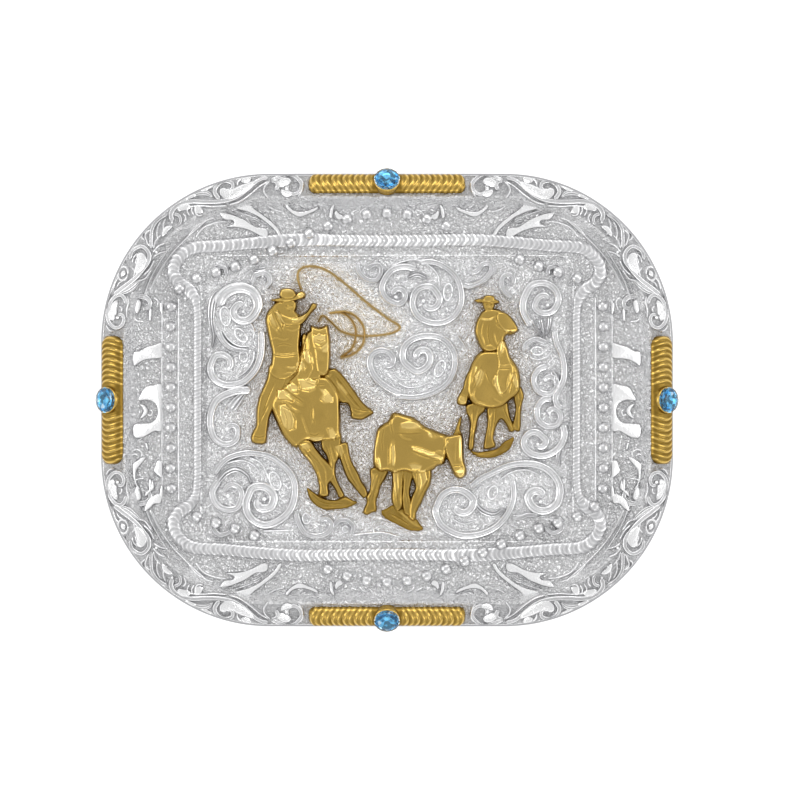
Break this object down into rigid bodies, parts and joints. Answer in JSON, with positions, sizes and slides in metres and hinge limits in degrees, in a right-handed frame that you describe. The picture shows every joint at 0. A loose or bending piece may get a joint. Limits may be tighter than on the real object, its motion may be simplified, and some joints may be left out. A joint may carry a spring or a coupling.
{
  "type": "western belt buckle",
  "caption": "Bent oblong trophy belt buckle with rope and bead border, scrollwork, gilt roping scene, ribbed gilt bars with round stones, belt loop and post behind.",
  "frame": {"origin": "centre of the bounding box at the surface that the buckle lies on, face up: under the loop's bar and the post's tip", "axes": "+X along the belt, to the right as seen from the front; +Y up; +Z out of the front face"},
  "size_m": [0.1042, 0.0826, 0.0149],
  "materials": {
    "silver": "bright silver plate",
    "gold": "polished gilt",
    "stone": "foiled blue glass",
    "steel": "satin"
  },
  "bodies": {
    "root": {"plate": "silver", "rim_scrolls": "silver", "field_ribbons": "silver", "rope_border": "silver", "bead_border": "silver", "panel_scrolls": "silver", "left_roper": "gold", "lasso": "gold", "steer": "gold", "right_roper": "gold", "bar_top": "gold", "bar_bottom": "gold", "bar_left": "gold", "bar_right": "gold", "stone_top": "stone", "stone_bottom": "stone", "stone_left": "stone", "stone_right": "stone", "belt_loop": "steel", "hook_post": "steel"}
  },
  "joints": []
}
